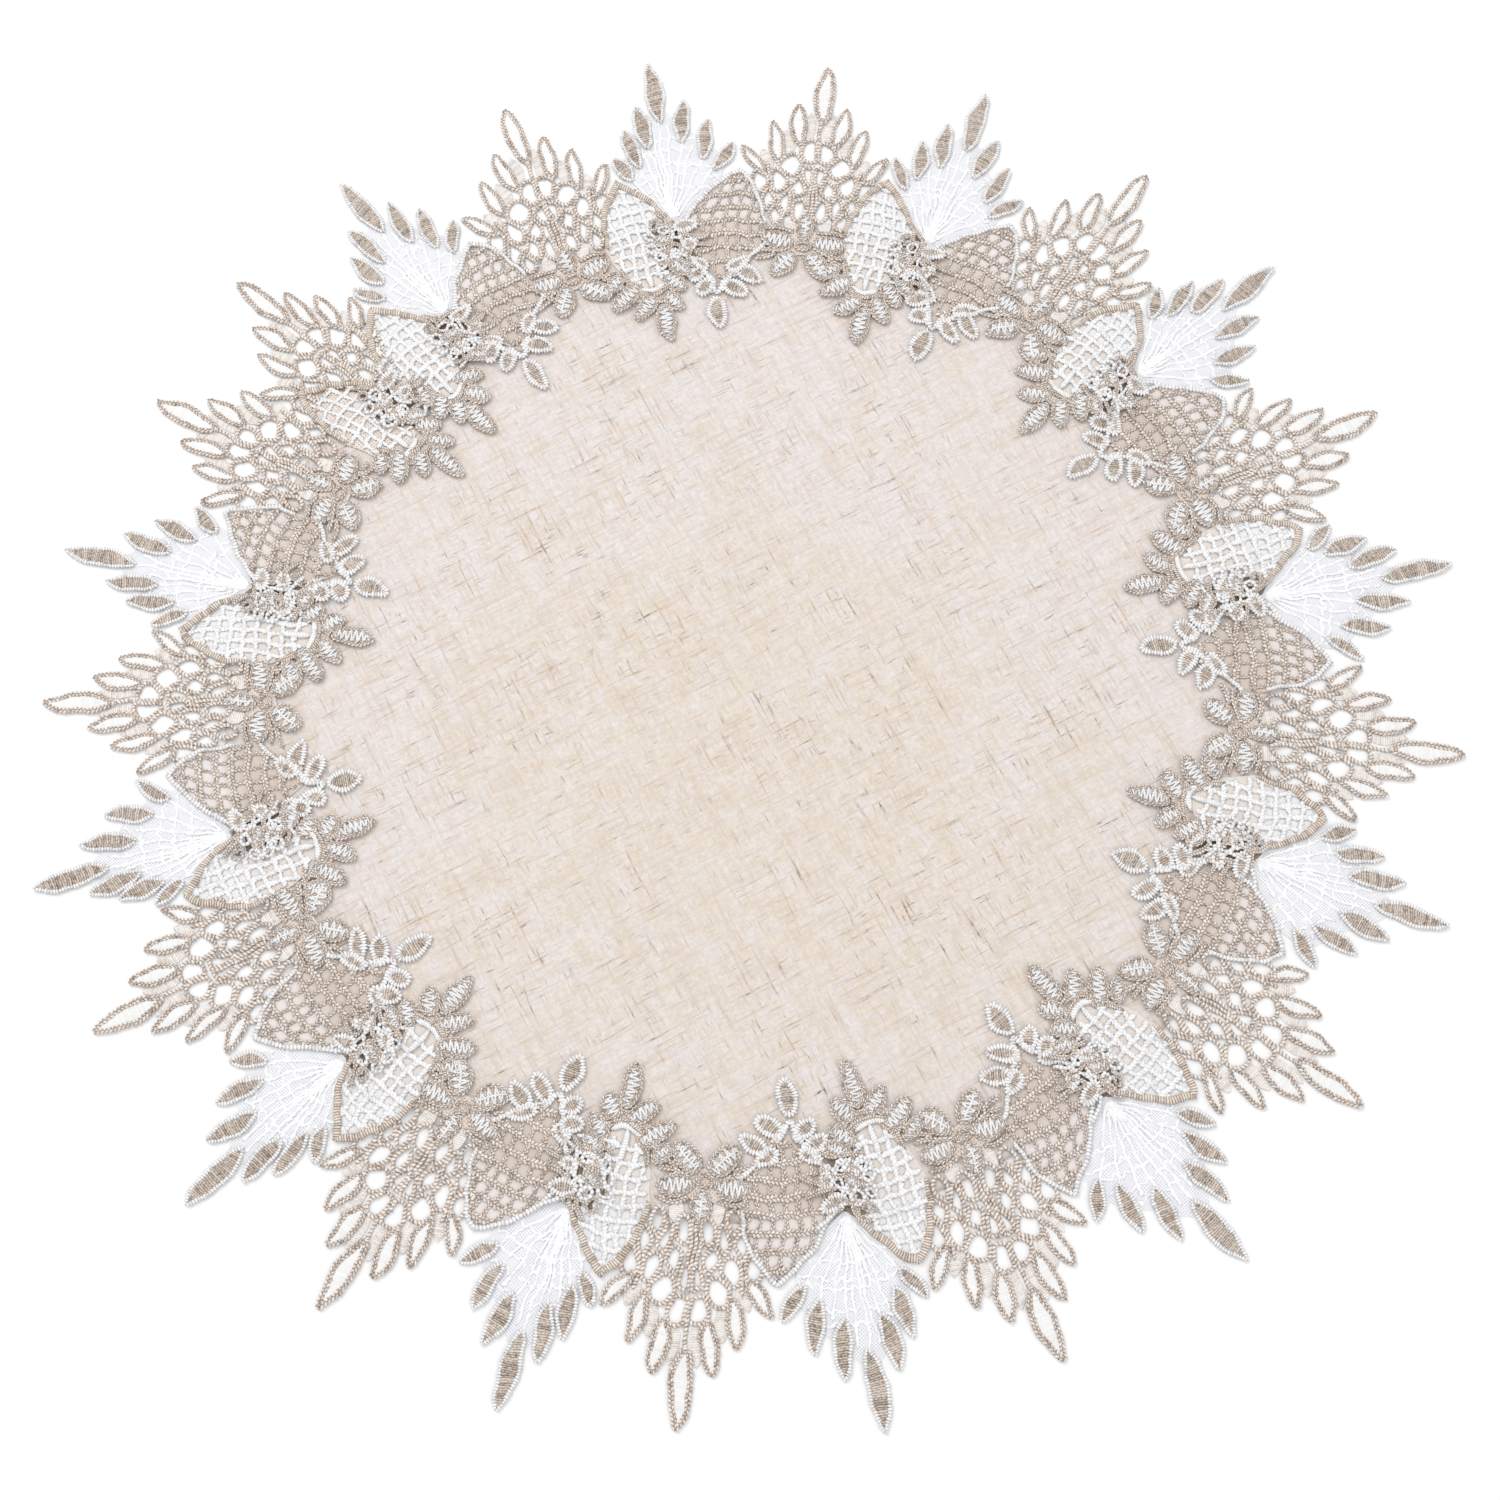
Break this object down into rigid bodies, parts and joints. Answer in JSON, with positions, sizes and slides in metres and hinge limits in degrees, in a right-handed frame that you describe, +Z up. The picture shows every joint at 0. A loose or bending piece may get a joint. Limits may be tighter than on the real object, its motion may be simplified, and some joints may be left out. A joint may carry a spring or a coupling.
{
  "type": "round lace doily",
  "caption": "Flat round table doily: a plain woven linen centre with a gathered border of openwork leaf and fan lace.",
  "frame": {"origin": "middle of the linen's underside, on the surface the doily lies on", "axes": "+Z up, +Y to the top of the doily as seen in the picture, +X to the right"},
  "size_m": [0.3965, 0.3977, 0.0037],
  "materials": {
    "linen_cloth": "natural linen, plain weave with fine darker slubs, matt",
    "lace_thread": "taupe and white cotton thread, satin-stitched machine lace"
  },
  "bodies": {
    "root": {"linen_centre": "linen_cloth", "lace_border": "lace_thread"}
  },
  "joints": []
}
